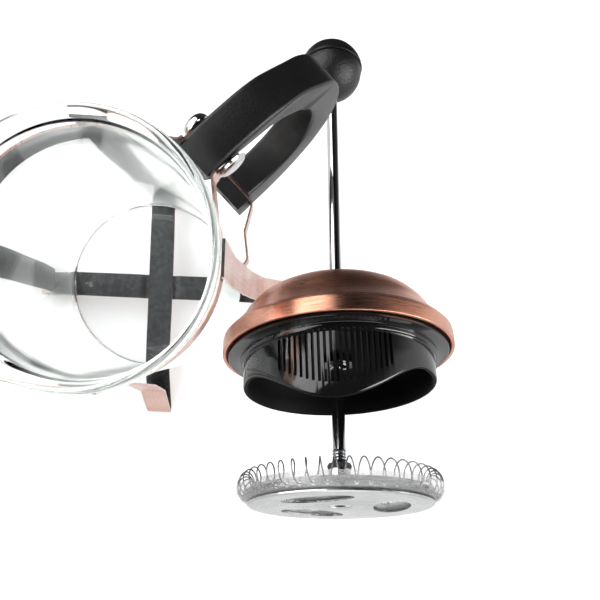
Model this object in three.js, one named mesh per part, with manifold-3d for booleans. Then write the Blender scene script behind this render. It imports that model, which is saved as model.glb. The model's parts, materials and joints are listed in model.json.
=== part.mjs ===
// Cafetiere with a copper-finished strap frame, shown with its lid and plunger held beside the beaker.
// Millimetres, +Z up, with the feet on Z = 0. The beaker's axis is upright, and +X and +Y point
// along the two crossed straps.
import * as THREE from 'three';
import { mergeVertices } from 'three/addons/utils/BufferGeometryUtils.js';
import Module from 'manifold-3d';

const wasm = await Module();
wasm.setup();

// ---- driving dimensions --------------------------------------------------------------------
const GAP = 0.3; // left between two pieces that touch

const GLASS = { base: 14, height: 176, radius: 49.5, wall: 2.4, floor: 4, lipRadius: 52 };
const RIM = GLASS.base + GLASS.height;
const SPOUT = { azimuth: 225, reach: 8, spread: 15, depth: 12 };

const STRAP = { width: 14.4, thickness: 1.2, wallRadius: 51.8, top: 178 };
const FOOT = { toe: 77.6, heel: 73.4, knee: [62.5, 25], inner: 50.5 };

const HANDLE = { azimuth: 45, thickness: 17, bevel: 3, rootRadius: 53.6, armEnd: 69.8 };
const BAND = { width: 14, thickness: 0.9, radius: 50.35, upperZ: 164, lowerZ: 74 };
const BOLT = { radius: 2, hole: 2.3, z: 163, out: 64.5 };
const EAR = { from: 57, tip: 68.8, low: 158.6, high: 167 };
const BLOCK = { from: 60.8, to: 68.2, width: 19, height: 16, recess: 2.4 };

const LID = { brim: 54, plateau: 12, height: 36, sheet: 0.9 };
const SKIRT = {
  outer: 44.9, wall: 2.1, shoulder: 46.2, flange: 51.9, depth: 17, tongue: 17, tongueSpan: 62, turn: -7,
};
const SLOT = { count: 20, width: 1.3, top: 5.8, pitch: 3.3, margin: 6 };

const ROD = { radius: 3, knobAt: 173.6, tip: -66 };
const KNOB = { radius: 17.8, body: 17, seam: 1.5 };
const BUSH = { bore: 3.85, outer: 4.8, flange: 7.5 };
const FILTER = { bottom: -70.8, plate: 40.9, mesh: 46.1, meshRim: -63.4 };
const COIL = { loops: 46, radius: 41.6, halfWidth: 3.4, halfHeight: 5, centre: -62.4, wire: 0.35 };

// Where the lid and plunger are held: the middle of the brim, and how the rod's axis leans and turns.
const HELD = { at: [101.5, -35.8, 107.8], lean: -112, turn: 1.5 };
// The lid hangs loose on the rod: its tilt about the world's Z axis, and how far up its bush it pivots.
const PLAY = { tilt: 1.6, pivot: 16 };

const rad = THREE.MathUtils.degToRad;

// ---- materials -----------------------------------------------------------------------------
function finish(color, roughness, metalness, more = {}) {
  return new THREE.MeshStandardMaterial({ color, roughness, metalness, ...more });
}

const copper = finish(0xb8674a, 0.32, 1);
const steel = finish(0xc9cacb, 0.22, 1);
const chrome = finish(0xd9dadc, 0.12, 1);
const gauze = finish(0xa9aaab, 0.45, 1);
const black = finish(0x17171a, 0.5, 0);
const glossBlack = finish(0x0d0d0f, 0.15, 0);
const glass = finish(0xe8efec, 0.05, 0, { transparent: true, opacity: 0.3 });

// ---- geometry helpers ----------------------------------------------------------------------
// Weld a geometry and turn its faces outwards.
function closed(geometry) {
  geometry.deleteAttribute('normal');
  geometry.deleteAttribute('uv');
  const body = mergeVertices(geometry, 1e-4);
  const p = body.attributes.position;
  const index = body.index.array;
  const [a, b, c] = [new THREE.Vector3(), new THREE.Vector3(), new THREE.Vector3()];
  let volume = 0;
  for (let i = 0; i < index.length; i += 3) {
    a.fromBufferAttribute(p, index[i]);
    b.fromBufferAttribute(p, index[i + 1]);
    c.fromBufferAttribute(p, index[i + 2]);
    volume += a.dot(b.cross(c));
  }
  if (volume < 0) {
    for (let i = 0; i < index.length; i += 3) {
      [index[i], index[i + 1]] = [index[i + 1], index[i]];
    }
  }
  return body;
}

function toManifold(geometry) {
  const body = closed(geometry);
  return new wasm.Manifold(new wasm.Mesh({
    numProp: 3,
    vertProperties: new Float32Array(body.attributes.position.array),
    triVerts: new Uint32Array(body.index.array),
  }));
}

function toGeometry(manifold) {
  const mesh = manifold.getMesh();
  const geometry = new THREE.BufferGeometry();
  geometry.setAttribute('position', new THREE.BufferAttribute(new Float32Array(mesh.vertProperties), 3));
  geometry.setIndex(new THREE.BufferAttribute(new Uint32Array(mesh.triVerts), 1));
  return geometry;
}

function cut(geometry, cutters) {
  const body = toManifold(geometry);
  return toGeometry(cutters.reduce((rest, cutter) => rest.subtract(toManifold(cutter)), body));
}

// A solid of revolution about Z from [radius, z] points; open profiles start and end on the axis.
function turned(profile, segments = 64) {
  const points = profile.map(([r, z]) => new THREE.Vector2(r, z));
  return new THREE.LatheGeometry(points, segments).rotateX(Math.PI / 2);
}

function ring(profile, segments) {
  return turned([...profile, profile[0]], segments);
}

// A round bar from one point to another.
function bar(from, to, radius, sides = 24) {
  const a = new THREE.Vector3(...from);
  const along = new THREE.Vector3(...to).sub(a);
  const geometry = new THREE.CylinderGeometry(radius, radius, along.length(), sides);
  geometry.translate(0, along.length() / 2, 0);
  const turn = new THREE.Quaternion().setFromUnitVectors(new THREE.Vector3(0, 1, 0), along.normalize());
  return geometry.applyQuaternion(turn).translate(a.x, a.y, a.z);
}

// Round the inner corners of a polyline: points are [x, y, radius].
function rounded(points, steps = 5) {
  const path = [];
  points.forEach(([x, y, r = 0], i) => {
    const here = new THREE.Vector2(x, y);
    if (!r || i === 0 || i === points.length - 1) {
      path.push(here);
      return;
    }
    const back = new THREE.Vector2(...points[i - 1].slice(0, 2)).sub(here).normalize();
    const ahead = new THREE.Vector2(...points[i + 1].slice(0, 2)).sub(here).normalize();
    const half = Math.acos(THREE.MathUtils.clamp(back.dot(ahead), -1, 1)) / 2;
    const middle = back.clone().add(ahead).normalize().multiplyScalar(r / Math.sin(half)).add(here);
    const start = here.clone().addScaledVector(back, r / Math.tan(half)).sub(middle);
    const sweep = (Math.PI - 2 * half) * Math.sign(ahead.cross(back));
    for (let k = 0; k <= steps; k++) {
      path.push(start.clone().rotateAround(new THREE.Vector2(), (sweep * k) / steps).add(middle));
    }
  });
  return path;
}

// The outline of a sheet of one thickness bent along a path.
function sheetOutline(path, thickness) {
  const normals = path.map((point, i) => {
    const before = path[Math.max(i - 1, 0)];
    const after = path[Math.min(i + 1, path.length - 1)];
    const one = point.clone().sub(before).normalize();
    const two = after.clone().sub(point).normalize();
    const along = one.clone().add(two).normalize();
    const stretch = 1 / Math.max(0.3, along.dot(one.lengthSq() ? one : two));
    return new THREE.Vector2(-along.y, along.x).multiplyScalar((stretch * thickness) / 2);
  });
  const left = path.map((point, i) => point.clone().add(normals[i]));
  const right = path.map((point, i) => point.clone().sub(normals[i]));
  return new THREE.Shape([...left, ...right.reverse()]);
}

function extruded(shape, depth, options = {}) {
  const settings = { depth, bevelEnabled: false, curveSegments: 8, ...options };
  return new THREE.ExtrudeGeometry(shape, settings).translate(0, 0, -depth / 2);
}

// Stand a drawing of (distance from the axis, height) upright at an azimuth.
function upright(geometry, azimuth) {
  return geometry.rotateX(Math.PI / 2).rotateZ(rad(azimuth));
}

function piece(name, geometry, material) {
  const mesh = new THREE.Mesh(closed(geometry), material);
  mesh.name = name;
  return mesh;
}

// ---- beaker --------------------------------------------------------------------------------
function beaker() {
  const { base, radius, wall, floor, lipRadius } = GLASS;
  const inner = radius - wall;
  const profile = [
    [0, base], [radius - 6, base], [radius - 1.8, base + 1.8], [radius, base + 6],
    [radius, RIM - 60], [radius, RIM - 12], [radius + 0.4, RIM - 7], [lipRadius - 0.4, RIM - 4],
    [lipRadius, RIM - 1.8], [lipRadius - 1, RIM - 0.2], [lipRadius - 2.6, RIM - 0.4],
    [lipRadius - 3.6, RIM - 2.6], [inner + 0.6, RIM - 6], [inner, RIM - 12], [inner, RIM - 60],
    [inner, base + floor + 5], [inner - 1.6, base + floor + 1.2], [inner - 5, base + floor],
    [0, base + floor],
  ];
  const geometry = turned(profile, 64);
  const p = geometry.attributes.position;
  for (let i = 0; i < p.count; i++) {
    const azimuth = THREE.MathUtils.radToDeg(Math.atan2(p.getY(i), p.getX(i)));
    const off = THREE.MathUtils.euclideanModulo(azimuth - SPOUT.azimuth + 180, 360) - 180;
    const rise = THREE.MathUtils.smoothstep(p.getZ(i), RIM - SPOUT.depth, RIM);
    const reach = SPOUT.reach * rise * Math.exp(-((off / SPOUT.spread) ** 2));
    const radiusHere = Math.hypot(p.getX(i), p.getY(i));
    if (radiusHere > radius / 2) {
      const grow = 1 + reach / radiusHere;
      p.setXY(i, p.getX(i) * grow, p.getY(i) * grow);
    }
  }
  return piece('beaker', geometry, glass);
}

// ---- strap frame ---------------------------------------------------------------------------
// One strap runs flat under the glass, folds back at each foot and climbs the beaker's side.
function strap(name, azimuth, middle) {
  const z = GLASS.base - GAP - STRAP.thickness / 2;
  const half = [
    [FOOT.inner, z, 12], [FOOT.heel, STRAP.thickness / 2, 3], [FOOT.toe, STRAP.thickness / 2, 1],
    [...FOOT.knee, 7],
    [57, 58, 60], [STRAP.wallRadius, 122, 90], [STRAP.wallRadius, STRAP.top],
  ];
  const mirrored = half.map(([x, y, r]) => [-x, y, r]).reverse();
  const path = rounded([...mirrored, ...middle.map(([x, drop]) => [x, z - drop, 3]), ...half]);
  const outline = sheetOutline(path, STRAP.thickness);
  return piece(name, upright(extruded(outline, STRAP.width), azimuth), copper);
}

function straps() {
  const under = STRAP.thickness + GAP;
  const edge = STRAP.width / 2;
  const joggle = [[-edge - 5, 0], [-edge - 2, under], [edge + 2, under], [edge + 5, 0]];
  return [strap('strap_fore_aft', 90, []), strap('strap_left_right', 0, joggle)];
}

// A band's plan outline stood on edge at a height, and turned with +X towards the handle.
function band(name, path, z, holes) {
  const geometry = extruded(sheetOutline(path, BAND.thickness), BAND.width).translate(0, 0, z);
  return piece(name, cut(geometry, holes).rotateZ(rad(HANDLE.azimuth)), copper);
}

function mirrored(path) {
  return path.map((point) => new THREE.Vector2(point.x, -point.y)).reverse();
}

// The collar runs round the beaker and ends in two ears on the handle's cheeks.
function collar() {
  const ear = HANDLE.thickness / 2 + GAP + BAND.thickness / 2;
  const away = rad(26);
  const steps = 60;
  const on = (angle) => [BAND.radius * Math.cos(angle), BAND.radius * Math.sin(angle)];
  const leaving = rounded([[EAR.tip, ear], [55, ear, 3], on(away)]);
  const round = Array.from({ length: steps - 1 }, (_, k) => (
    new THREE.Vector2(...on(away + ((2 * Math.PI - 2 * away) * (k + 1)) / steps))
  ));
  const hole = bar([BOLT.out, -ear - 3, BOLT.z], [BOLT.out, ear + 3, BOLT.z], BOLT.hole, 16);
  const tall = 10;
  const trims = [EAR.high + tall / 2, EAR.low - tall / 2].map((z) => (
    new THREE.BoxGeometry(20, 40, tall).translate(EAR.from + 10, 0, z)
  ));
  return band('collar', [...leaving, ...round, ...mirrored(leaving)], BAND.upperZ, [hole, ...trims]);
}

// The lower band crosses in front of the clamp block, and each end lies behind a strap.
function lowerBand() {
  const face = BLOCK.to + GAP + BAND.thickness / 2;
  const half = rounded([
    [face, 0], [face, 11.5, 2], [56, 19.7, 3], [47.4, 31.2, 2], [44.05, 31.9, 1.5], [33.4, 42.6],
  ]);
  const hole = bar([face - 3, 0, BAND.lowerZ], [face + 3, 0, BAND.lowerZ], BOLT.hole, 16);
  return band('lower_band', [...mirrored(half.slice(1)), ...half], BAND.lowerZ, [hole]);
}

// ---- handle --------------------------------------------------------------------------------
function handle() {
  const { bevel, rootRadius, armEnd } = HANDLE;
  const v = (x, y) => new THREE.Vector2(x, y);
  const outline = new THREE.Shape();
  outline.moveTo(rootRadius + bevel, 166);
  outline.splineThru([v(66, 168), v(88, 166), v(106, 157), v(120, 142), v(126, 120), v(123.5, 98),
    v(113, 80), v(98.5, 69.5), v(84, 64.5), v(armEnd + bevel, 63)]);
  outline.lineTo(armEnd + bevel, 82);
  outline.splineThru([v(82, 81), v(97, 84.5), v(109.5, 95), v(115, 114), v(112, 135), v(100, 149),
    v(84, 154.5), v(rootRadius + bevel, 155)]);
  const depth = HANDLE.thickness - 2 * bevel;
  const settings = {
    bevelEnabled: true, bevelSize: bevel, bevelThickness: bevel, bevelSegments: 3, curveSegments: 4,
  };
  const half = HANDLE.thickness;
  const cross = bar([BOLT.out, BOLT.z, -half], [BOLT.out, BOLT.z, half], BOLT.hole, 16);
  const blind = bar([armEnd - 2, BAND.lowerZ, 0], [armEnd + 14, BAND.lowerZ, 0], BOLT.hole, 16);
  const solid = cut(extruded(outline, depth, settings), [cross, blind]);
  return piece('handle', upright(solid, HANDLE.azimuth), black);
}

function clampBlock() {
  const { from, to, width, height, recess } = BLOCK;
  const geometry = new THREE.BoxGeometry(to - from, width, height);
  geometry.translate((from + to) / 2, 0, BAND.lowerZ);
  const hole = bar([from - 2, 0, BAND.lowerZ], [to + 2, 0, BAND.lowerZ], BOLT.hole, 16);
  const sunk = bar([from - 2, 0, BAND.lowerZ], [from + recess, 0, BAND.lowerZ], 3.8, 20);
  return piece('clamp_block', cut(geometry, [hole, sunk]).rotateZ(rad(HANDLE.azimuth)), black);
}

// A domed head on a shank, turned about Z with the head's seat at Z = 0 and the shank going up.
function domedScrew(head, rise, shank) {
  return turned([
    [0, -rise], [head * 0.5, -rise * 0.86], [head * 0.86, -rise * 0.5], [head, 0],
    [BOLT.radius, 0], [BOLT.radius, shank], [0, shank],
  ], 16);
}

function clampScrews() {
  const ear = HANDLE.thickness / 2 + GAP + BAND.thickness + GAP;
  const bolt = domedScrew(6.6, 2.9, 2 * ear + 3.3).rotateX(-Math.PI / 2);
  bolt.translate(BOLT.out, -ear, BOLT.z);
  const nut = turned([
    [0, 3.6], [BOLT.hole, 3.6], [BOLT.hole, 0], [5.8, 0], [5.5, 2], [4.5, 3.8], [2.6, 5], [0, 5.4],
  ], 16).rotateX(-Math.PI / 2).translate(BOLT.out, ear, BOLT.z);
  const screw = domedScrew(3.4, 1.6, 17).rotateY(Math.PI / 2);
  screw.translate(BLOCK.from + BLOCK.recess - GAP, 0, BAND.lowerZ);
  return [['clamp_bolt', bolt], ['clamp_nut', nut], ['block_screw', screw]].map(
    ([name, geometry]) => piece(name, geometry.rotateZ(rad(HANDLE.azimuth)), chrome),
  );
}

// ---- lid, drawn with the brim's plane at Z = 0 and the rod along Z -------------------------
function lidCover() {
  const { brim, plateau, height, sheet } = LID;
  const outside = [
    [brim - 0.4, -2.3], [brim + 0.6, -0.4], [brim + 0.4, 6.2], [brim - 0.5, 7.4],
    [brim - 3.2, 10.1], [brim - 6, 13.2], [45.9, 16], [44.3, 18.8], [42.2, 21.6], [38.7, 25.3],
    [30.1, 30.2], [20, 33.7], [plateau, height], [BUSH.outer + GAP, height],
  ];
  const inside = outside.slice(0, -1).map(([r, z]) => [r - sheet, z - 0.6 * sheet]);
  inside[0] = [outside[0][0] - sheet, outside[0][1]];
  inside.push([BUSH.outer + GAP, height - sheet]);
  return piece('lid_cover', ring([...outside, ...inside.reverse()], 48), copper);
}

// How far the skirt hangs below the brim, at an angle from the middle of its tongue.
function skirtDepth(angle) {
  const share = Math.min(Math.abs(angle) / SKIRT.tongueSpan, 1);
  return SKIRT.depth + SKIRT.tongue * (0.5 + 0.5 * Math.cos(Math.PI * share));
}

function lidInsert() {
  const { outer, wall, shoulder, flange } = SKIRT;
  const inner = outer - wall;
  const low = -SKIRT.depth;
  const geometry = ring([
    [BUSH.outer + GAP, -1.8], [inner - 2, -1.8], [inner, -3.8], [inner, low], [outer, low],
    [outer, -5.6], [shoulder, -5.2], [shoulder, -2.4], [flange, -2.4], [flange, -0.2],
    [BUSH.outer + GAP, -0.2],
  ], 72);
  const p = geometry.attributes.position;
  for (let i = 0; i < p.count; i++) {
    if (p.getZ(i) < low + 0.01) {
      const angle = THREE.MathUtils.radToDeg(Math.atan2(p.getX(i), -p.getY(i)));
      p.setZ(i, -skirtDepth(angle));
    }
  }
  const slots = Array.from({ length: SLOT.count }, (_, k) => {
    const angle = (k - (SLOT.count - 1) / 2) * SLOT.pitch;
    const long = skirtDepth(angle) - SLOT.margin - SLOT.top;
    const slot = new THREE.BoxGeometry(SLOT.width, 3 * wall, long);
    slot.translate(0, wall / 2 - outer, -SLOT.top - long / 2);
    return slot.rotateZ(rad(angle));
  });
  return piece('lid_insert', cut(geometry, slots).rotateZ(rad(SKIRT.turn)), glossBlack);
}

function lidBush() {
  const { bore, outer, flange } = BUSH;
  const top = LID.height + GAP;
  const profile = [
    [bore, -6], [outer, -6], [outer, top], [flange, top], [flange - 0.8, top + 1.4],
    [bore, top + 1.4],
  ];
  return piece('lid_bush', ring(profile, 28), steel);
}

function lidNut() {
  const sleeve = new THREE.CylinderGeometry(8, 8, 3, 6).rotateX(Math.PI / 2).translate(0, 0, -3.7);
  const hole = bar([0, 0, -8], [0, 0, 0], BUSH.outer + GAP, 28);
  return piece('lid_nut', cut(sleeve, [hole]), steel);
}

// ---- plunger -------------------------------------------------------------------------------
function plungerRod() {
  const { radius, knobAt, tip } = ROD;
  const thread = [];
  for (let k = 0; k < 3; k++) {
    const z = -50.4 + k * 1.4;
    thread.push([radius + 0.3, z], [radius - 0.3, z + 0.7]);
  }
  const profile = [
    [0, tip], [2.2, tip], [2.2, -51.4], ...thread, [radius, -45.6], [radius, knobAt + 5.6],
    [radius - 0.6, knobAt + 6.2], [0, knobAt + 6.2],
  ];
  return piece('plunger_rod', turned(profile, 20), steel);
}

function knob() {
  const { radius, body, seam } = KNOB;
  const hole = ROD.radius + GAP;
  const arc = (r, from, to, steps) => Array.from({ length: steps + 1 }, (_, k) => {
    const angle = rad(from + ((to - from) * k) / steps);
    return [r * Math.cos(angle), r * Math.sin(angle)];
  });
  const lowest = -Math.sqrt(body ** 2 - 5.5 ** 2);
  const startAngle = THREE.MathUtils.radToDeg(Math.asin(lowest / body));
  const seamAngle = THREE.MathUtils.radToDeg(Math.asin((seam - GAP) / body));
  const lower = [
    [0, 6.6], [hole, 6.6], [hole, lowest], ...arc(body, startAngle, seamAngle, 7),
    [body - 2.4, seam - GAP], [body - 2.4, 8], [0, 8],
  ];
  const lip = THREE.MathUtils.radToDeg(Math.asin(seam / radius));
  const upper = [
    [0, 8 + GAP], [body - 2.4 + GAP, 8 + GAP], [body - 2.4 + GAP, seam], ...arc(radius, lip, 90, 8),
  ];
  return [
    piece('knob_base', turned(lower, 32).translate(0, 0, ROD.knobAt), black),
    piece('knob_cap', turned(upper, 32).translate(0, 0, ROD.knobAt), black),
  ];
}

// ---- filter --------------------------------------------------------------------------------
// Three oval windows round the hub, with the spokes between them.
function crossPlate() {
  const { bottom, plate } = FILTER;
  const disc = turned([
    [0, bottom + 0.3], [16, bottom + 0.3], [36, bottom], [plate - 0.8, bottom],
    [plate, bottom + 0.5], [plate, bottom + 1], [0, bottom + 1],
  ], 60);
  const windows = [0, 120, 240].map((azimuth) => {
    const hole = new THREE.CylinderGeometry(1, 1, 6, 24).rotateX(Math.PI / 2);
    return hole.scale(8, 16.5, 1).translate(22.6, 0, bottom).rotateZ(rad(azimuth));
  });
  const eye = bar([0, 0, bottom - 3], [0, 0, bottom + 3], 5.2);
  return piece('cross_plate', cut(disc, [...windows, eye]), steel);
}

function meshScreen() {
  const z = FILTER.bottom + 1 + GAP;
  const outside = [[5.4, z], [41, z], [43.8, z + 1.6], [45.4, z + 4], [FILTER.mesh, FILTER.meshRim]];
  const inside = outside.map(([r, h], i) => (i < 2 ? [r - (i ? 0.2 : 0), h + 0.35] : [r - 0.35, h]));
  return piece('mesh_screen', ring([...outside, ...inside.reverse()], 60), gauze);
}

function springPlate() {
  const { loops, radius, centre, halfHeight } = COIL;
  const z = FILTER.bottom + 2;
  const wall = radius - 0.3;
  const dish = ring([
    [5.4, z], [wall - 0.6, z], [wall + 0.5, z + 1], [wall + 0.5, z + 4.2], [wall - 0.1, z + 4.2],
    [wall - 0.1, z + 1.3], [wall - 0.8, z + 0.6], [5.4, z + 0.6],
  ], COIL.loops);
  const holes = Array.from({ length: loops }, (_, k) => {
    const height = centre - halfHeight;
    return bar([wall - 2, 0, height], [wall + 2, 0, height], 1.1, 5).rotateZ((2 * Math.PI * k) / loops);
  });
  const lights = Array.from({ length: 6 }, (_, k) => {
    const hole = bar([23, 0, z - 2], [23, 0, z + 3], 6, 12);
    return hole.rotateZ(rad(60 * k));
  });
  return piece('spring_plate', cut(dish, [...holes, ...lights]), steel);
}

// The coil's loops wrap the spring plate's wall, through its holes.
class CoilCurve extends THREE.Curve {
  getPoint(t, target = new THREE.Vector3()) {
    const turn = 2 * Math.PI * t;
    const phase = -COIL.loops * turn - Math.PI / 2;
    const r = COIL.radius + COIL.halfWidth * Math.cos(phase);
    const z = COIL.centre + COIL.halfHeight * Math.sin(phase);
    return target.set(r * Math.cos(turn), r * Math.sin(turn), z);
  }
}

function coilSpring() {
  const sides = 4;
  const section = new THREE.Shape(Array.from({ length: sides }, (_, k) => {
    const angle = (2 * Math.PI * k) / sides;
    return new THREE.Vector2(COIL.wire * Math.cos(angle), COIL.wire * Math.sin(angle));
  }));
  const ends = new CoilCurve();
  const open = new THREE.CatmullRomCurve3(Array.from(
    { length: COIL.loops * 8 },
    (_, k) => ends.getPoint((k + 0.5) / (COIL.loops * 8)),
  ));
  const settings = { steps: COIL.loops * 8, bevelEnabled: false, extrudePath: open };
  return piece('coil_spring', new THREE.ExtrudeGeometry(section, settings), steel);
}

function hub() {
  const base = FILTER.bottom + 0.4;
  const body = ring([[2.5, base], [5, base], [5, -54.6], [2.5, -54.6]], 24);
  const seal = [[2.5, -54.3], [5.3, -54.3], [5.6, -53], [5, -51.9], [2.5, -51.9]];
  return [
    piece('filter_hub', body, steel),
    piece('hub_seal', ring(seal, 24), black),
  ];
}

// ---- assembly ------------------------------------------------------------------------------
const group = new THREE.Group();
group.add(beaker(), ...straps(), collar(), lowerBand(), handle(), clampBlock(), ...clampScrews());

const held = new THREE.Group();
held.position.set(...HELD.at);
held.rotation.set(rad(HELD.lean), 0, rad(HELD.turn), 'ZYX');
held.add(
  plungerRod(), ...knob(), crossPlate(), meshScreen(), springPlate(), coilSpring(), ...hub(),
);
group.add(held);

const lid = new THREE.Group();
const worldUp = new THREE.Vector3(0, 0, 1).applyQuaternion(held.quaternion.clone().invert());
const pivot = new THREE.Vector3(0, 0, PLAY.pivot);
lid.quaternion.setFromAxisAngle(worldUp, rad(PLAY.tilt));
lid.position.copy(pivot).sub(pivot.clone().applyQuaternion(lid.quaternion));
lid.add(lidCover(), lidInsert(), lidBush(), lidNut());
held.add(lid);

// Centre the whole layout's box on the Z axis, with the feet on Z = 0.
const box = new THREE.Box3().setFromObject(group, true);
const middle = box.getCenter(new THREE.Vector3());
group.position.set(-middle.x, -middle.y, -box.min.z);

export default group;
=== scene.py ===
"""Looks for the cafetiere: glass, brushed copper, black mouldings, polished steel and woven gauze."""

import json
import math

import bmesh
import bpy
from mathutils import Matrix, Vector


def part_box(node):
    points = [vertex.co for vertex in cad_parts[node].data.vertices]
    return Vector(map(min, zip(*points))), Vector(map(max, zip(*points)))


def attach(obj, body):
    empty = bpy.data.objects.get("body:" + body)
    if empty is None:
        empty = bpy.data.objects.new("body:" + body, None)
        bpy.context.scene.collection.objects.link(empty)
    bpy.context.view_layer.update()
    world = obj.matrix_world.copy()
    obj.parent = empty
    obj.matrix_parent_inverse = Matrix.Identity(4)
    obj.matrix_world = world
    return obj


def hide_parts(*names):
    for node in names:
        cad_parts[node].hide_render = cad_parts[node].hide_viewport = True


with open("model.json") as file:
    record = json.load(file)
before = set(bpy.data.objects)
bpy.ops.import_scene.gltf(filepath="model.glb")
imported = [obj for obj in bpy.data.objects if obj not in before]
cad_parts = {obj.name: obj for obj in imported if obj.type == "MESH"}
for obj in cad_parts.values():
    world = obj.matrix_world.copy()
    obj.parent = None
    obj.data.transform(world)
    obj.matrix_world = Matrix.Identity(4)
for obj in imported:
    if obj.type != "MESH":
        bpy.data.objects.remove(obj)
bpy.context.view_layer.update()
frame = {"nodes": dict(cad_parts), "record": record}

# Outlines and sizes of pieces are in millimetres, and places in the scene are in metres.
MM = 0.001
TURN = 2 * math.pi
TINY = 1e-6
# Edges sharper than this many degrees stay sharp, on the new pieces and on the CAD ones.
CREASE = 34
CAD_CREASE = 32

# ---- places taken from the frame ------------------------------------------------------------


def middle(node):
    """The middle of a CAD node's box."""
    low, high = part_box(node)
    return (Vector(low) + Vector(high)) / 2


# The beaker's axis, where the two straps cross.
POT = Vector((middle("strap_fore_aft").x, middle("strap_left_right").y, 0))
# How far the lid's joint sits up the bush from the plane of the brim.
LID_PIVOT = 16 * MM


def joint_frame(name, below=0.0):
    """A frame whose z axis is a joint's axis, and whose x axis is level."""
    joint = next(j for j in frame["record"]["behaviour"]["joints"] if j["name"] == name)
    axis = Vector(joint["axis"]).normalized()
    side = Vector((axis.y, -axis.x, 0)).normalized()
    turn = Matrix((side, axis.cross(side), axis)).transposed().to_4x4()
    return Matrix.Translation(Vector(joint["pos_m"]) - below * axis) @ turn


# The plunger's and the lid's frames: the brim's plane is z = 0 and +z runs up to the knob.
PLUNGER = joint_frame("knob_unscrew")
LID = joint_frame("lid_turn", LID_PIVOT)
BEAKER = Matrix.Translation(POT)
HANDLE_AZIMUTH = math.radians(45)
HANDLE = BEAKER @ Matrix.Rotation(HANDLE_AZIMUTH, 4, "Z")


# ---- shader helpers -------------------------------------------------------------------------
class Shader:
    """A Principled material and short ways to add nodes to it."""

    def __init__(self, name, place=BEAKER, **sockets):
        self.material = bpy.data.materials.new(name)
        self.material.use_nodes = True
        self.nodes = self.material.node_tree.nodes
        self.links = self.material.node_tree.links
        self.bsdf = self.nodes["Principled BSDF"]
        for socket, value in sockets.items():
            self.bsdf.inputs[socket.replace("_", " ")].default_value = value
        coords = self.nodes.new("ShaderNodeTexCoord").outputs["Object"]
        local = self.add("Mapping", {"Vector": coords}, vector_type="TEXTURE")
        local.inputs["Location"].default_value = place.to_translation()
        local.inputs["Rotation"].default_value = place.to_euler()
        self.local = local.outputs["Vector"]

    def add(self, kind, inputs=None, **settings):
        node = self.nodes.new("ShaderNode" + kind)
        for key, value in settings.items():
            setattr(node, key, value)
        for key, value in (inputs or {}).items():
            if isinstance(value, bpy.types.NodeSocket):
                self.links.new(value, node.inputs[key])
            else:
                node.inputs[key].default_value = value
        return node

    def math(self, operation, *values, clamp=False):
        inputs = dict(enumerate(values))
        return self.add("Math", inputs, operation=operation, use_clamp=clamp).outputs[0]

    def split(self, vector):
        return self.add("SeparateXYZ", {0: vector}).outputs

    def join(self, x, y, z):
        return self.add("CombineXYZ", {0: x, 1: y, 2: z}).outputs[0]

    def polar(self):
        """Radius, angle and height about the local Z axis."""
        x, y, z = self.split(self.local)
        squares = [self.math("POWER", value, 2) for value in (x, y)]
        radius = self.math("SQRT", self.math("ADD", *squares))
        return radius, self.math("ARCTAN2", y, x), z

    def noise(self, vector, scale, detail=2.0, roughness=0.5):
        inputs = {"Vector": vector, "Scale": scale, "Detail": detail, "Roughness": roughness}
        return self.add("TexNoise", inputs).outputs["Fac"]

    def ramp(self, value, *stops):
        """Map a value through colour stops given as (position, grey or rgb)."""
        node = self.add("ValToRGB", {"Fac": value})
        elements = node.color_ramp.elements
        for extra in stops[2:]:
            elements.new(extra[0])
        for element, (position, color) in zip(elements, sorted(stops, key=lambda s: s[0])):
            element.position = position
            rgb = color if isinstance(color, tuple) else (color,) * 3
            element.color = (*rgb, 1)
        return node.outputs["Color"]

    def blend(self, share, first, second, mode="MIX"):
        node = self.add("Mix", data_type="RGBA", blend_type=mode)
        for key, value in ((0, share), (6, first), (7, second)):
            if isinstance(value, bpy.types.NodeSocket):
                self.links.new(value, node.inputs[key])
            else:
                node.inputs[key].default_value = (*value, 1) if isinstance(value, tuple) else value
        return node.outputs[2]

    def out(self, socket, value):
        self.links.new(value, self.bsdf.inputs[socket])

    def bump(self, height, distance, strength=1.0):
        inputs = {"Height": height, "Distance": distance, "Strength": strength}
        self.out("Normal", self.add("Bump", inputs).outputs["Normal"])


def brushed(shader, grain, color, dark, roughness, depth=0.00002):
    """Fine scratches from a grain value, with broad patches of tarnish over them."""
    patches = shader.noise(shader.local, 35, 3)
    tint = shader.blend(shader.ramp(patches, (0.35, 0.0), (0.7, 1.0)), dark, color)
    streaks = shader.ramp(grain, (0.25, 0.78), (0.75, 1.0))
    shader.out("Base Color", shader.blend(1.0, tint, streaks, "MULTIPLY"))
    low, high = roughness
    shader.out("Roughness", shader.ramp(grain, (0.3, high), (0.7, low)))
    shader.bump(grain, depth)


# ---- metals ---------------------------------------------------------------------------------
COPPER = (0.80, 0.43, 0.33)
COPPER_DARK = (0.58, 0.25, 0.16)
PALE_COPPER = (0.84, 0.60, 0.54)
PALE_COPPER_DARK = (0.70, 0.42, 0.34)
STEEL = (0.72, 0.73, 0.74)
STEEL_DARK = (0.54, 0.55, 0.56)
# Near-black painted on the copper's inward and upward faces: painted dark reflection and shade.
PAINTED_DARK = (0.052, 0.052, 0.054)


def spun_grain(shader, pitch, length=0.002):
    radius, angle, z = shader.polar()
    around = shader.math("MULTIPLY", angle, length)
    return shader.noise(shader.join(radius, around, z), 1 / pitch, 3, 0.6)


def spun_copper():
    shader = Shader("spun_copper", LID, Metallic=1.0, Anisotropic=0.75, Anisotropic_Rotation=0.25)
    brushed(shader, spun_grain(shader, 0.00035), COPPER, COPPER_DARK, (0.24, 0.38))
    shader.out("Tangent", round_tangent(shader))
    return shader.material


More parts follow.
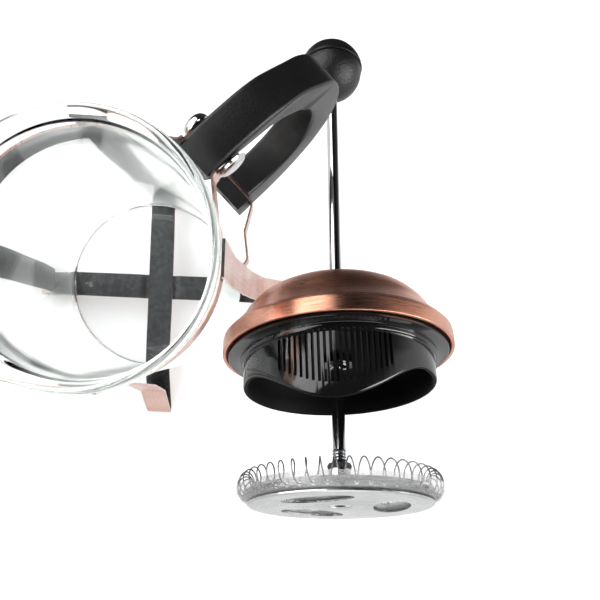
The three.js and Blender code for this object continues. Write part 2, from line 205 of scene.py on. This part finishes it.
def round_tangent(shader):
    """The direction round the lid's axis, for highlights that stretch across the spun grain."""
    axis = tuple(LID.col[2].xyz)
    coords = shader.nodes.new("ShaderNodeTexCoord").outputs["Object"]
    out = shader.add("VectorMath", {0: coords, 1: LID.to_translation()}, operation="SUBTRACT")
    cross = shader.add("VectorMath", {0: axis, 1: out.outputs[0]}, operation="CROSS_PRODUCT")
    around = shader.add(
        "VectorTransform", {"Vector": cross.outputs[0]}, vector_type="VECTOR", convert_from="OBJECT",
        convert_to="WORLD",
    )
    return shader.add("VectorMath", {0: around.outputs[0]}, operation="NORMALIZE").outputs[0]


# A face whose normal points out from the beaker's axis by less than this is an inner face.
INWARD = -0.3


def band_copper():
    """Copper on the outside of the bands, with painted dark reflection and shade on their inner faces."""
    shader = Shader("band_copper", BEAKER, Metallic=1.0)
    _, angle, z = shader.polar()
    grain = shader.noise(shader.join(shader.math("MULTIPLY", angle, 0.004), z, 0.0), 4000, 3, 0.6)
    brushed(shader, grain, PALE_COPPER, PALE_COPPER_DARK, (0.22, 0.36))
    # Faces that face the beaker's axis get the painted dark reflection.
    return paint_dark_reflection(shader, lambda outward, up: shader.math("LESS_THAN", outward, INWARD))


def paint_dark_reflection(shader, inside):
    """Paint the faces where inside(outward, up) is 1 near-black and rougher: the near-black is painted
    dark reflection and shade.
    """
    normal = shader.nodes.new("ShaderNodeNewGeometry").outputs["True Normal"]
    facing = shader.add(
        "VectorTransform", {"Vector": normal}, vector_type="NORMAL", convert_from="WORLD",
        convert_to="OBJECT",
    ).outputs[0]
    x, y, _ = shader.split(shader.local)
    spoke = shader.add("VectorMath", {0: shader.join(x, y, 0.0)}, operation="NORMALIZE").outputs[0]
    outward = shader.add("VectorMath", {0: facing, 1: spoke}, operation="DOT_PRODUCT").outputs["Value"]
    up = shader.split(facing)[2]
    share = inside(outward, up)
    color = shader.bsdf.inputs["Base Color"].links[0].from_socket
    # Painted dark reflection and shade: near-black with faint noise.
    painted_dark_tone = shader.ramp(shader.noise(shader.local, 400, 4), (0.4, PAINTED_DARK), (0.8, (0.1, 0.1, 0.1)))
    shader.out("Base Color", shader.blend(share, color, painted_dark_tone))
    rough = shader.bsdf.inputs["Roughness"].links[0].from_socket
    dull = shader.ramp(shader.noise(shader.local, 250, 3), (0.3, 0.42), (0.7, 0.6))
    shader.out("Roughness", shader.blend(share, rough, dull))
    return shader.material


def strap_copper(name, along):
    """Copper brushed along the strap's run, with painted dark reflection and shade on the faces that face
    up or inward.
    """
    shader = Shader(name, BEAKER, Metallic=1.0)
    x, y, z = shader.split(shader.local)
    run, across = (x, y) if along == "X" else (y, x)
    slow = [shader.math("MULTIPLY", value, 0.02) for value in (run, z)]
    grain = shader.noise(shader.join(slow[0], across, slow[1]), 4000, 3, 0.6)
    brushed(shader, grain, PALE_COPPER, PALE_COPPER_DARK, (0.22, 0.36))

    # The faces given painted dark reflection: those facing up, and those facing the axis unless they face
    # down.
    def inside(outward, up):
        sideways = shader.math("MULTIPLY", outward, 1.2)
        above = shader.math("GREATER_THAN", up, shader.math("MAXIMUM", 0.3, sideways))
        behind = shader.math("LESS_THAN", outward, INWARD)
        not_under = shader.math("GREATER_THAN", up, -0.7)
        return shader.math("MAXIMUM", above, shader.math("MULTIPLY", behind, not_under))

    return paint_dark_reflection(shader, inside)


def polished_steel():
    shader = Shader("polished_steel", PLUNGER, Metallic=1.0)
    brushed(shader, spun_grain(shader, 0.0005, 0.01), STEEL, STEEL_DARK, (0.08, 0.2), 0.000005)
    return shader.material


def pressed_steel(name, light, dark):
    shader = Shader(name, PLUNGER, Metallic=1.0)
    brushed(shader, spun_grain(shader, 0.0006), light, dark, (0.2, 0.34), 0.00001)
    return shader.material


def chrome():
    shader = Shader("chrome", HANDLE, Metallic=1.0)
    grain = shader.noise(shader.local, 900, 4)
    brushed(shader, grain, (0.8, 0.81, 0.82), (0.66, 0.67, 0.69), (0.05, 0.14), 0.00001)
    return shader.material


WEAVE_PITCH = 0.42 * MM


def gauze():
    """Woven wire: two sets of crossed threads with open squares between them."""
    shader = Shader("gauze", PLUNGER, Metallic=1.0, Roughness=0.32)
    x, y, z = shader.split(shader.local)
    rise = shader.math("ADD", y, z)
    threads = []
    for slant in ("ADD", "SUBTRACT"):
        phase = shader.math("MULTIPLY", shader.math(slant, x, rise), TURN / WEAVE_PITCH)
        threads.append(shader.math("ABSOLUTE", shader.math("SINE", phase)))
    weave = shader.math("MULTIPLY", *threads)
    sparkle = shader.noise(shader.local, 2600, 3, 0.7)
    tone = shader.ramp(sparkle, (0.32, 0.2), (0.5, 0.5), (0.68, 0.95))
    shader.out("Base Color", tone)
    shader.out("Alpha", shader.ramp(weave, (0.16, 1.0), (0.3, 0.0)))
    shader.bump(shader.math("ADD", weave, sparkle), 0.0002)
    return shader.material


# ---- plastics, rubber and glass -------------------------------------------------------------
def moulded(name, place, tone, roughness, grain, depth, gloss=0.5):
    """Black plastic with a fine spark-eroded texture and faint wear."""
    shader = Shader(name, place, Specular_IOR_Level=gloss)
    fine = shader.noise(shader.local, 1 / grain, 4, 0.6)
    worn = shader.noise(shader.local, 60, 4)
    shader.out("Base Color", shader.ramp(worn, (0.35, tone), (0.75, 1.7 * tone)))
    low, high = roughness
    shader.out("Roughness", shader.ramp(fine, (0.3, low), (0.7, high)))
    shader.bump(fine, depth)
    return shader.material


def clear_glass():
    """Clear glass that lets the light through to the table under it."""
    shader = Shader("clear_glass", BEAKER, IOR=1.24, Specular_IOR_Level=1.0, Transmission_Weight=1.0)
    shader.bsdf.inputs["Base Color"].default_value = (0.915, 0.93, 0.93, 1)
    smears = shader.noise(shader.local, 45, 4)
    shader.out("Roughness", shader.ramp(smears, (0.45, 0.0), (0.8, 0.035)))
    x, y, _ = shader.split(shader.local)
    drawn = shader.noise(shader.join(x, y, 0.0), 60, 1)
    shader.bump(drawn, 0.0002, 0.3)
    return let_light_through(shader, (0.9, 0.905, 0.91))


def let_light_through(shader, tint):
    """Tinted shadow rays pass through the glass, and its edges take on a milky green."""
    output = shader.nodes["Material Output"]
    facing = shader.add("LayerWeight", {"Blend": 0.5}).outputs["Facing"]
    edge = shader.ramp(facing, (0.55, 0.0), (0.97, 0.75))
    milk = shader.add("BsdfTranslucent", {"Color": (0.88, 0.92, 0.89, 1)})
    body = shader.add("MixShader", {0: edge, 1: shader.bsdf.outputs[0], 2: milk.outputs[0]})
    passing = shader.add("BsdfTransparent", {"Color": (*tint, 1)})
    path = shader.nodes.new("ShaderNodeLightPath").outputs["Is Shadow Ray"]
    mix = shader.add("MixShader", {0: path, 1: body.outputs[0], 2: passing.outputs[0]})
    shader.links.new(mix.outputs[0], output.inputs["Surface"])
    return shader.material


# ---- mesh helpers ---------------------------------------------------------------------------
def smoothed(profile, steps):
    """Points on a Catmull-Rom curve through a profile of (radius, z) points."""
    points = [Vector(p) for p in profile]
    path = []
    for i in range(len(points) - 1):
        before, after = points[max(i - 1, 0)], points[min(i + 2, len(points) - 1)]
        a, b = points[i], points[i + 1]
        for k in range(steps):
            t = k / steps
            path.append(0.5 * (
                2 * a + (b - before) * t + (2 * before - 5 * a + 4 * b - after) * t * t
                + (3 * a - before - 3 * b + after) * t ** 3
            ))
    return [*path, points[-1]]


def turned(name, profile, place, body, replaced, segments=160, warp=None):
    """A surface of revolution in millimetres about the place's Z axis."""
    bm = bmesh.new()
    rings = []
    for radius, z in profile:
        spots = []
        for k in range(segments if radius > TINY else 1):
            angle = TURN * k / segments
            r, up = warp(angle, radius, z) if warp else (radius, z)
            spot = Vector((r * math.cos(angle), r * math.sin(angle), up))
            spots.append(bm.verts.new(place @ (MM * spot)))
        rings.append(spots)
    if profile[0][0] > TINY:
        rings.append(rings[0])
    for low, high in zip(rings, rings[1:]):
        for k in range(segments):
            around = ((low, k), (low, k + 1), (high, k + 1), (high, k))
            corners = [ring[i % len(ring)] for ring, i in around]
            bm.faces.new(list(dict.fromkeys(corners)))
    return finished(name, bm, body, replaced)


def finished(name, bm, body, replaced, crease=CREASE):
    """Make the object, shade it, and tie it to its body and its CAD node."""
    bmesh.ops.recalc_face_normals(bm, faces=bm.faces)
    soften(bm, crease)
    mesh = bpy.data.meshes.new(name)
    bm.to_mesh(mesh)
    bm.free()
    obj = bpy.data.objects.new(name, mesh)
    bpy.context.scene.collection.objects.link(obj)
    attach(obj, body)
    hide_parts(replaced)
    return obj


def soften(bm, crease):
    """Smooth shading, with edges sharper than the crease angle left sharp."""
    for face in bm.faces:
        face.smooth = True
    for edge in bm.edges:
        if len(edge.link_faces) == 2:
            edge.smooth = edge.calc_face_angle() < math.radians(crease)


def carved(obj, cutter):
    """Cut the cutter's shape out of the object, and drop the cutter."""
    tool = bpy.data.objects.new("cutter", cutter)
    bpy.context.scene.collection.objects.link(tool)
    modifier = obj.modifiers.new("cut", "BOOLEAN")
    modifier.object = tool
    modifier.solver = "EXACT"
    mesh = bpy.data.meshes.new_from_object(obj.evaluated_get(bpy.context.evaluated_depsgraph_get()))
    obj.modifiers.clear()
    bpy.data.objects.remove(tool)
    bm = bmesh.new()
    bm.from_mesh(mesh)
    soften(bm, CREASE)
    bm.to_mesh(mesh)
    bm.free()
    obj.data = mesh
    return obj


def closed_line(curve, points):
    """Give a curve one closed run of straight pieces."""
    line = curve.splines.new("POLY")
    line.points.add(len(points) - 1)
    line.use_cyclic_u = True
    for point, spot in zip(line.points, points):
        point.co = (*spot, 1)


def mesh_of(curve):
    """The solid that a curve makes, as a bmesh."""
    shape = bpy.data.objects.new("shape", curve)
    bm = bmesh.new()
    bm.from_mesh(bpy.data.meshes.new_from_object(shape))
    bpy.data.objects.remove(shape)
    return bm


def wear(material, *nodes):
    """Give a material to new pieces, or to CAD nodes by name."""
    for node in nodes:
        obj = node if isinstance(node, bpy.types.Object) else frame["nodes"][node]
        obj.data.materials.clear()
        obj.data.materials.append(material)


# ---- beaker ---------------------------------------------------------------------------------
# The pouring lip, opposite the handle. Its spread is in degrees to each side.
SPOUT_AZIMUTH = math.radians(225)
SPOUT_SPREAD = 15
SPOUT_HEIGHT = 12
SPOUT_REACH = 8


def beaker_glass():
    low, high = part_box("beaker")
    base, rim = low[2] / MM, high[2] / MM
    outer, inner, lip = 49.5, 47.1, 52.0
    floor = base + 4
    outside = [
        (0, base + 0.5), (20, base + 0.2), (30, base), (37, base + 0.5), (43, base + 2.2),
        (47, base + 5.6), (49, base + 10), (outer, base + 16), (outer, base + 34), (outer, rim - 60),
        (outer, rim - 14), (outer + 0.5, rim - 7), (lip - 0.5, rim - 3.6), (lip, rim - 1.6),
        (lip - 0.9, rim - 0.1), (lip - 2.2, rim - 0.1), (lip - 3.4, rim - 2), (inner + 0.7, rim - 7),
        (inner, rim - 14), (inner, rim - 60), (inner, floor + 36), (inner, floor + 18),
        (46.2, floor + 12), (43.5, floor + 7.5), (39, floor + 4), (33, floor + 1.8), (25, floor + 0.6),
        (15, floor + 0.1), (0, floor),
    ]

    def spout(angle, radius, z):
        off = math.degrees(math.remainder(angle - SPOUT_AZIMUTH, TURN))
        rise = min(max((z - (rim - SPOUT_HEIGHT)) / SPOUT_HEIGHT, 0), 1)
        eased = rise * rise * (3 - 2 * rise)
        swell = SPOUT_REACH * eased * math.exp(-((off / SPOUT_SPREAD) ** 2))
        return (radius + swell if radius > inner / 2 else radius), z

    profile = smoothed(outside, 4)
    return turned("beaker_glass", profile, BEAKER, "beaker", "beaker", 192, spout)


# ---- lid ------------------------------------------------------------------------------------
SKIRT_OUTER = 44.9
SKIRT_INNER = 42.8
SKIRT_DEPTH = 17
# The skirt keeps its plain shape down to here, and is stretched below it.
SKIRT_PLAIN = 8
# The strainer tongue: how far round it is turned and reaches in degrees, and how far it drops.
TONGUE_TURN = 7
TONGUE_REACH = 62
TONGUE_DROP = 17
SLOT_COUNT = 20
SLOT_STEP = 3.3
SLOT_WIDTH = 1.3
SLOT_CUT = 8
SLOT_TOP = 5.8
BELOW_SLOTS = 6


def lid_dome():
    outside = [
        (53.2, -0.8), (54.2, -0.9), (54.5, -0.7), (54.6, -0.3), (54.55, 3), (54.4, 5.9), (54.1, 6.5),
        (53.7, 6.9), (53.4, 7.4), (50.8, 10.1), (48, 13.2), (45.9, 16), (44.3, 18.8), (42.2, 21.6),
        (38.7, 25.3), (34.6, 28), (30.1, 30.2), (20, 33.7), (12, 35.8), (9, 36), (5.2, 36),
    ]
    inside = [
        (5.2, 35.2), (12, 35.1), (30, 29.4), (41.2, 21), (44.8, 15.6), (49.8, 9.6), (53, 5.6), (53, -0.6),
    ]
    return turned("lid_dome", smoothed(outside, 3) + inside, LID, "lid", "lid_cover", 256)


def skirt_depth(angle):
    """How far the skirt hangs below the brim, deepest in the middle of the strainer tongue."""
    share = min(abs(angle) / TONGUE_REACH, 1)
    return SKIRT_DEPTH + TONGUE_DROP * (0.5 + 0.5 * math.cos(math.pi * share))


def from_tongue(angle):
    """Degrees round the lid from the middle of the tongue."""
    return math.degrees(math.remainder(angle + TURN / 4 + math.radians(TONGUE_TURN), TURN))


def strainer_skirt():
    outer, inner = SKIRT_OUTER, SKIRT_INNER
    edge = [
        (inner + 0.3, -16.8), (inner + 0.8, -17.2), (outer - 0.8, -17.2), (outer - 0.3, -16.8),
        (outer, -16.2),
    ]
    profile = [
        (5.1, -1.8), (inner - 2, -1.8), (inner - 0.5, -2.4), (inner, -3.8), (inner, -10), (inner, -16.2),
        *edge, (outer, -10), (outer, -5.9), (outer + 0.4, -5.4), (46.2, -5.2), (46.4, -4.9), (46.4, -2.6),
        (46.7, -2.4), (51.6, -2.4), (51.9, -2.1), (51.9, -0.2), (5.1, -0.2),
    ]

    def hang(angle, radius, z):
        stretch = min(max((-z - SKIRT_PLAIN) / SKIRT_PLAIN, 0), 1)
        return radius, z + (SKIRT_DEPTH - skirt_depth(from_tongue(angle))) * stretch

    skirt = turned("strainer_skirt", profile, LID, "lid", "lid_insert", 288, hang)
    return carved(skirt, slot_cutter())


def slot_cutter():
    """A row of blocks that cut the strainer's slots."""
    bm = bmesh.new()
    for k in range(SLOT_COUNT):
        angle = (k - (SLOT_COUNT - 1) / 2) * SLOT_STEP
        long = skirt_depth(angle) - BELOW_SLOTS - SLOT_TOP
        place = MM * Vector((0, -(SKIRT_INNER + SKIRT_OUTER) / 2, -SLOT_TOP - long / 2))
        shape = Matrix.LocRotScale(place, None, MM * Vector((SLOT_WIDTH, SLOT_CUT, long)))
        turn = Matrix.Rotation(math.radians(angle - TONGUE_TURN), 4, "Z")
        bmesh.ops.create_cube(bm, size=1, matrix=LID @ turn @ shape)
    cutter = bpy.data.meshes.new("slots")
    bm.to_mesh(cutter)
    bm.free()
    return cutter


# Faces nearer the axis than the skin's depth, and below this height, are the skirt's inside.
SKIN_DEPTH = 0.4
PLATE_UNDERSIDE = -1


def dull_inside(skirt, dull):
    """Give the skirt's inner faces, those under the brim's plate, a material of their own."""
    skirt.data.materials.append(dull)
    to_lid = LID.inverted()
    for face in skirt.data.polygons:
        spot = to_lid @ face.center
        within = math.hypot(spot.x, spot.y) < (SKIRT_OUTER - SKIN_DEPTH) * MM
        if within and spot.z < PLATE_UNDERSIDE * MM:
            face.material_index = 1


# ---- plunger --------------------------------------------------------------------------------
def rod():
    thread = [(3 + 0.3 * math.cos(math.pi * k), -50.4 + 0.7 * k) for k in range(7)]
    profile = [
        (0, -66), (1.9, -66), (2.2, -65.6), (2.2, -51.4), *thread, (3, -45.6), (3, 60), (3, 179.2),
        (2.4, 179.8), (0, 179.8),
    ]
    return turned("rod", profile, PLUNGER, "plunger", "plunger_rod", 64)


KNOB_CENTRE = 173.6
BASE_RADIUS = 17
CAP_RADIUS = 17.8


def ball(radius, low, high, steps=24):
    """A ball's outline between two heights above its centre, which is the knob's."""
    start, end = (math.asin(max(-1, min(1, z / radius))) for z in (low, high))
    angles = [start + (end - start) * k / steps for k in range(steps + 1)]
    return [(radius * math.cos(a), KNOB_CENTRE + radius * math.sin(a)) for a in angles]


def knob_halves():
    base = [
        (3.3, 180.2), (3.3, 157.5), (5, 157.3), *ball(BASE_RADIUS, -16.1, 0.7), (16.7, 174.6),
        (14.6, 174.8), (14.6, 181.6), (3.3, 181.6),
    ]
    cap = [
        (0, 182), (14.9, 182), (14.9, 175.1), (17.2, 174.9), (17.6, 175.2),
        *ball(CAP_RADIUS, 2.2, 17.79)[:-1], (0, KNOB_CENTRE + CAP_RADIUS),
    ]
    return [
        turned("knob_ball", base, PLUNGER, "knob", "knob_base", 128),
        turned("knob_shell", cap, PLUNGER, "knob", "knob_cap", 128),
    ]


# ---- filter ---------------------------------------------------------------------------------
COIL_LOOPS = 46
COIL_SPOTS = 20
COIL_RADIUS = 41.6
COIL_HEIGHT = -62.4
# Half of each loop's width and height.
COIL_REACH = 3.4
COIL_RISE = 5
WIRE_RADIUS = 0.31


def coil_wire():
    """The wire round the filter's edge, one loop after another, closed on itself."""
    curve = bpy.data.curves.new("coil_wire", "CURVE")
    curve.dimensions = "3D"
    curve.bevel_depth = WIRE_RADIUS * MM
    curve.bevel_resolution = 2
    count = COIL_LOOPS * COIL_SPOTS
    points = []
    for k in range(count):
        turn = TURN * k / count
        phase = -COIL_LOOPS * turn - math.pi / 2
        r = COIL_RADIUS + COIL_REACH * math.cos(phase)
        height = COIL_HEIGHT + COIL_RISE * math.sin(phase)
        points.append(PLUNGER @ (MM * Vector((r * math.cos(turn), r * math.sin(turn), height))))
    closed_line(curve, points)
    return finished("coil_wire", mesh_of(curve), "filter", "coil_spring", 60)


# ---- handle ---------------------------------------------------------------------------------
GRIP_HALF_WIDTH = 8.5
GRIP_ROUNDING = 1.6
# The upper arm's cheeks draw in below TUCK_TOP, over TUCK_FADE, and from TUCK_FROM to the root.
TUCK = 0.42
TUCK_TOP = 166
TUCK_FADE = 9
TUCK_FROM = 116
TUCK_RUN = 44
UPPER_ARM = 140


def tuck(u, z):
    """How far the upper arm's cheeks draw in towards its underside, most of all at its root."""
    below = min(max((TUCK_TOP - z) / TUCK_FADE, 0), 1)
    rootward = min(max((TUCK_FROM - u) / TUCK_RUN, 0), 1)
    return TUCK * below * rootward if z > UPPER_ARM else 0


def grip():
    outer = [
        (56.6, 166), (66, 168), (88, 166), (106, 157), (120, 142), (126, 120), (123.5, 98), (113, 80),
        (98.5, 69.5), (84, 64.5), (72.8, 63),
    ]
    inner = [
        (72.8, 82), (82, 81), (97, 84.5), (109.5, 95), (115, 114), (112, 135), (100, 149), (84, 154.5),
        (56.6, 155),
    ]
    outline = smoothed(outer, 8) + smoothed(inner, 8)
    curve = bpy.data.curves.new("grip", "CURVE")
    curve.dimensions = "2D"
    curve.fill_mode = "BOTH"
    curve.extrude = (GRIP_HALF_WIDTH - GRIP_ROUNDING) * MM
    curve.bevel_depth = GRIP_ROUNDING * MM
    curve.offset = 1.4 * MM
    curve.bevel_resolution = 3
    closed_line(curve, [(MM * spot.x, MM * spot.y, 0) for spot in outline])
    bm = mesh_of(curve)
    bmesh.ops.remove_doubles(bm, verts=bm.verts, dist=TINY)
    for vert in bm.verts:
        vert.co.z *= 1 - tuck(vert.co.x / MM, vert.co.y / MM)
    bm.transform(HANDLE @ Matrix.Rotation(math.radians(90), 4, "X"))
    return finished("grip", bm, "frame", "handle", 50)


BOLT_OUT = 64.5
BOLT_HEIGHT = 163
BOLT_SEAT = 10.0


def clamp_domes():
    """The bolt through the collar's ears, with its low domed head, and the domed nut behind."""
    across = Matrix.Rotation(math.radians(-90), 4, "X")
    head = smoothed([(0, -1.9), (3.3, -1.7), (5.6, -1.1), (6.6, 0)], 5)
    bolt = [*head, (6.4, 0.1), (2, 0.1), (2, 23.3), (0, 23.3)]
    dome = smoothed([(5.8, 0.2), (5.5, 1.6), (4.5, 3), (2.6, 4), (0, 4.4)], 4)
    nut = [(0, 3.7), (2.3, 3.6), (2.3, 0.1), (5.7, 0), *dome]
    places = []
    for y in (-BOLT_SEAT, BOLT_SEAT):
        spot = MM * Vector((BOLT_OUT, y, BOLT_HEIGHT))
        places.append(HANDLE @ Matrix.Translation(spot) @ across)
    return [
        turned("domed_bolt", bolt, places[0], "frame", "clamp_bolt", 64),
        turned("domed_nut", nut, places[1], "frame", "clamp_nut", 64),
    ]


# ---- what each piece wears ------------------------------------------------------------------
wear(clear_glass(), beaker_glass())
wear(strap_copper("strap_copper_x", "X"), "strap_left_right")
wear(strap_copper("strap_copper_y", "Y"), "strap_fore_aft")
wear(band_copper(), "collar", "lower_band")
wear(moulded("handle_plastic", HANDLE, 0.004, (0.3, 0.46), 0.0007, 0.0001, 0.35), grip(), "clamp_block")
wear(chrome(), *clamp_domes(), "block_screw")
wear(spun_copper(), lid_dome())
skirt = strainer_skirt()
wear(moulded("gloss_black", LID, 0.004, (0.07, 0.15), 0.003, 0.00002), skirt)
dull_inside(skirt, moulded("dull_black", LID, 0.002, (0.5, 0.7), 0.001, 0.00004, 0.08))
wear(polished_steel(), rod(), "lid_bush", "filter_hub")
wear(pressed_steel("plate_steel", (0.74, 0.75, 0.75), (0.44, 0.45, 0.45)), "cross_plate")
wear(pressed_steel("wire_steel", (0.34, 0.34, 0.35), (0.22, 0.22, 0.23)), coil_wire())
wear(pressed_steel("ring_steel", (0.62, 0.62, 0.63), (0.42, 0.42, 0.43)), "spring_plate")
wear(pressed_steel("black_steel", (0.07, 0.07, 0.07), (0.03, 0.03, 0.03)), "lid_nut")
wear(gauze(), "mesh_screen")
ball_half, shell_half = knob_halves()
wear(moulded("knob_plastic", PLUNGER, 0.004, (0.28, 0.42), 0.0012, 0.0004, 0.4), ball_half)
wear(moulded("cap_plastic", PLUNGER, 0.004, (0.3, 0.42), 0.0007, 0.00006, 0.3), shell_half)
wear(moulded("seal_rubber", PLUNGER, 0.02, (0.5, 0.7), 0.0004, 0.00003), "hub_seal")

for node in frame["nodes"].values():
    node.data.shade_smooth()
    split = node.modifiers.new("edges", "EDGE_SPLIT")
    split.split_angle = math.radians(CAD_CREASE)


# ---- floor, light and camera ----------------------------------------------------------------
FLOOR_RADIUS = 1.3
BACKDROP = (0.96, 0.96, 0.96, 1)
LIGHTS_AIM = (0, 0, 0.08)


def floor():
    bm = bmesh.new()
    bmesh.ops.create_circle(bm, cap_ends=True, segments=96, radius=FLOOR_RADIUS)
    mesh = bpy.data.meshes.new("floor")
    bm.to_mesh(mesh)
    bm.free()
    plane = bpy.data.objects.new("floor", mesh)
    bpy.context.scene.collection.objects.link(plane)
    shader = Shader("pale_floor", BEAKER, Roughness=0.9, Specular_IOR_Level=0.1)
    grain = shader.noise(shader.local, 30, 3)
    shader.out("Base Color", shader.ramp(grain, (0.0, 0.93), (1.0, 0.96)))
    mesh.materials.append(shader.material)
    plane.visible_glossy = False


def graded(tree, direction, stops):
    """A grey that depends on how far a ray points along a direction."""
    way = tree.nodes.new("ShaderNodeTexCoord").outputs["Generated"]
    dot = tree.nodes.new("ShaderNodeVectorMath")
    dot.operation = "DOT_PRODUCT"
    dot.inputs[1].default_value = Vector(direction).normalized()
    tree.links.new(way, dot.inputs[0])
    ramp = tree.nodes.new("ShaderNodeValToRGB")
    tree.links.new(dot.outputs["Value"], ramp.inputs["Fac"])
    elements = ramp.color_ramp.elements
    for _ in stops[2:]:
        elements.new(0.5)
    for element, (position, grey) in zip(elements, stops):
        element.position = position
        element.color = (grey, grey, grey, 1)
    return ramp.outputs["Color"]


def looked_through(tree):
    """1 for a ray from the camera or through the glass, and 0 for any other."""
    rays = tree.nodes.new("ShaderNodeLightPath")
    seen = tree.nodes.new("ShaderNodeMath")
    seen.operation = "MAXIMUM"
    for k, kind in enumerate(("Is Camera Ray", "Is Transmission Ray")):
        tree.links.new(rays.outputs[kind], seen.inputs[k])
    return seen.outputs[0]


def sky():
    """A pale tent round the object, which reflections see as dark overhead and on its far side."""
    world = bpy.data.worlds.new("studio")
    bpy.context.scene.world = world
    world.use_nodes = True
    tree = world.node_tree
    tent = tree.nodes.new("ShaderNodeMix")
    tent.data_type = "RGBA"
    tent.blend_type = "MULTIPLY"
    tent.inputs[0].default_value = 1
    overhead = graded(tree, (0, 0, 1), [(0.0, 1.0), (0.25, 0.8), (0.5, 0.1), (0.8, 0.02)])
    beyond = graded(tree, (0.14, 0.99, 0), [(0.48, 1.0), (0.66, 0.04)])
    tree.links.new(overhead, tent.inputs[6])
    tree.links.new(beyond, tent.inputs[7])
    light = tree.nodes.new("ShaderNodeMix")
    light.data_type = "RGBA"
    light.inputs[7].default_value = BACKDROP
    tree.links.new(looked_through(tree), light.inputs[0])
    tree.links.new(tent.outputs[2], light.inputs[6])
    tree.links.new(light.outputs[2], tree.nodes["Background"].inputs["Color"])


def softbox(name, place, size, watts):
    lamp = bpy.data.lights.new(name, "AREA")
    lamp.shape = "RECTANGLE"
    lamp.size, lamp.size_y = size
    lamp.energy = watts
    obj = bpy.data.objects.new(name, lamp)
    bpy.context.scene.collection.objects.link(obj)
    obj.location = place
    aim = Vector(LIGHTS_AIM) - Vector(place)
    obj.rotation_euler = aim.to_track_quat("-Z", "Y").to_euler()


def camera():
    """Almost straight above the space between the beaker and the lid."""
    data = bpy.data.cameras.new("camera")
    data.sensor_width = 36
    data.lens = 40.68
    data.shift_y = 0.06
    obj = bpy.data.objects.new("camera", data)
    bpy.context.scene.collection.objects.link(obj)
    right = Vector((0.9988, 0.0390, 0.0290))
    up = Vector((-0.0392, 0.9992, 0.0069))
    turn = Matrix((right, up, right.cross(up))).transposed().to_4x4()
    obj.matrix_world = Matrix.Translation(POT + Vector((0.0742, -0.0299, 0.430))) @ turn
    bpy.context.scene.camera = obj


floor()
sky()
softbox("right_box", (1.2, -0.25, 0.75), (0.8, 1.1), 27)
softbox("left_box", (-1.0, 0.75, 0.85), (1.9, 1.3), 34)
softbox("front_box", (0.1, -1.3, 0.7), (1.4, 0.6), 12)
camera()
bpy.context.scene.view_settings.view_transform = "Standard"
